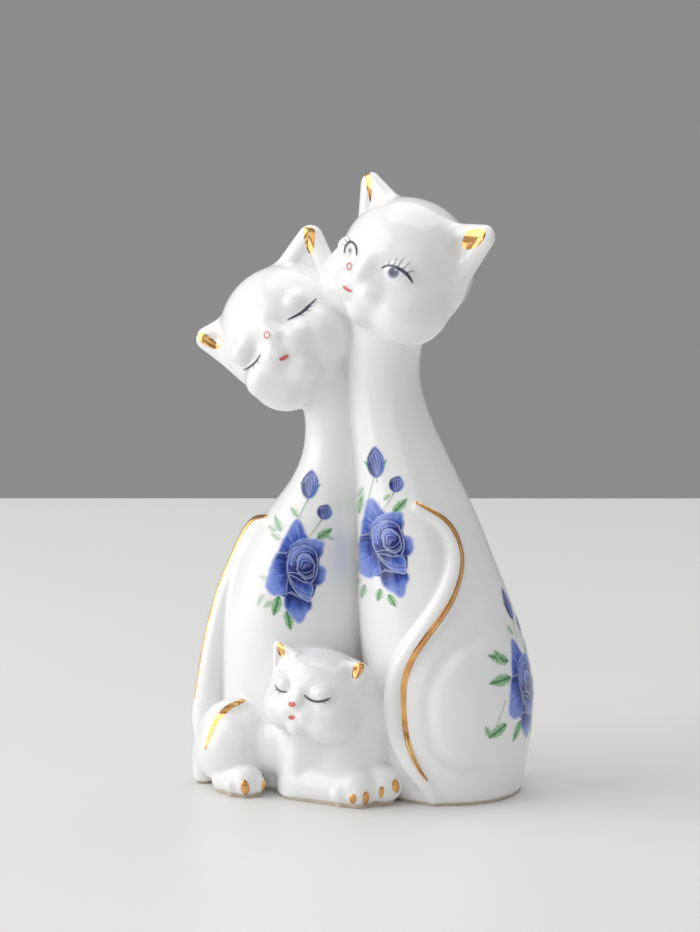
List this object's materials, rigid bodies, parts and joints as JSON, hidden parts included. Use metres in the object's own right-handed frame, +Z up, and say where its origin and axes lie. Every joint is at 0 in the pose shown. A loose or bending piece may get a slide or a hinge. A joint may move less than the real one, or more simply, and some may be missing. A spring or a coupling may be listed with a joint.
{
  "type": "porcelain cat figurine",
  "caption": "Glazed porcelain ornament of two seated long-necked cats leaning head to head with a kitten lying in front, gilded tails and blue rose transfers.",
  "frame": {"origin": "centre of the footprint on the table, at the underside of the foot", "axes": "+Z up along the cats' necks, -Y is the front with the kitten, +X towards the taller cat"},
  "size_m": [0.0768, 0.0477, 0.1346],
  "materials": {
    "glaze": "gloss",
    "bisque": "matte",
    "gold": "polished",
    "rose": "gloss",
    "leaf": "gloss",
    "ink": "gloss",
    "iris": "gloss",
    "coral": "gloss"
  },
  "bodies": {
    "root": {"base_plate": "bisque", "left_cat_body": "glaze", "left_cat_head": "glaze", "left_cat_tail": "glaze", "right_cat_body": "glaze", "right_cat_head": "glaze", "right_cat_tail": "glaze", "kitten_body": "glaze", "kitten_head": "glaze", "kitten_front_paws": "glaze", "kitten_hind_paw": "glaze", "kitten_tail": "glaze", "left_cat_ear_gold": "gold", "right_cat_ear_gold": "gold", "kitten_ear_gold": "gold", "left_cat_tail_gold": "gold", "right_cat_tail_gold": "gold", "kitten_tail_gold": "gold", "kitten_claw_gold": "gold", "left_cat_roses": "rose", "left_cat_leaves": "leaf", "right_cat_roses": "rose", "right_cat_leaves": "leaf", "right_side_roses": "rose", "right_side_leaves": "leaf", "left_side_roses": "rose", "left_side_leaves": "leaf", "left_cat_eyelids": "ink", "right_cat_eye_lines": "ink", "right_cat_irises": "iris", "kitten_eyelids": "ink", "left_cat_nose_mouth": "coral", "right_cat_nose_mouth": "coral", "kitten_nose_mouth": "coral"}
  },
  "joints": []
}
